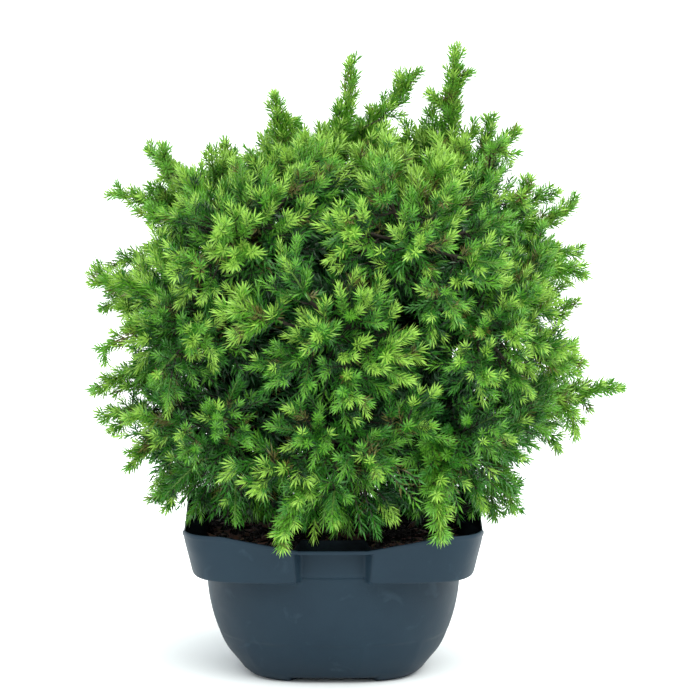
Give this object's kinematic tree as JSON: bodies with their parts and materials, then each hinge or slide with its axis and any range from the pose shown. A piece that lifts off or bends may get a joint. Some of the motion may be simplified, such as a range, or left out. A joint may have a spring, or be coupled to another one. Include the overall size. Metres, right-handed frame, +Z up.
{
  "type": "potted japanese cedar",
  "caption": "Potted dwarf Japanese cedar: a dense dome of needled shoots on boughs and a short trunk, in a compost-filled plastic pot, round below and rounded-square at the rim.",
  "frame": {"origin": "centre of the pot's underside, on the surface that the pot stands on", "axes": "+Z up along the pot's axis, -Y towards the front that the picture shows, +X to the right in it"},
  "size_m": [0.441, 0.4096, 0.518],
  "materials": {
    "slate": "matt, lightly worn",
    "compost": "loose and damp",
    "bark": "rough",
    "needles": "waxy"
  },
  "bodies": {
    "root": {"pot": "slate", "compost": "compost", "trunk": "bark", "bough_01": "bark", "bough_02": "bark", "bough_03": "bark", "bough_04": "bark", "bough_05": "bark", "bough_06": "bark", "bough_07": "bark", "bough_08": "bark", "bough_09": "bark", "bough_10": "bark", "bough_11": "bark", "bough_12": "bark", "bough_13": "bark", "bough_14": "bark", "bough_15": "bark", "bough_16": "bark", "bough_17": "bark", "bough_18": "bark", "bough_19": "bark", "foliage_01": "needles", "foliage_02": "needles", "foliage_03": "needles", "foliage_04": "needles", "foliage_05": "needles", "foliage_06": "needles", "foliage_07": "needles", "foliage_08": "needles", "foliage_09": "needles", "foliage_10": "needles", "foliage_11": "needles", "foliage_12": "needles", "foliage_13": "needles", "foliage_14": "needles", "foliage_15": "needles", "foliage_16": "needles", "foliage_17": "needles", "foliage_18": "needles", "foliage_19": "needles"}
  },
  "joints": []
}
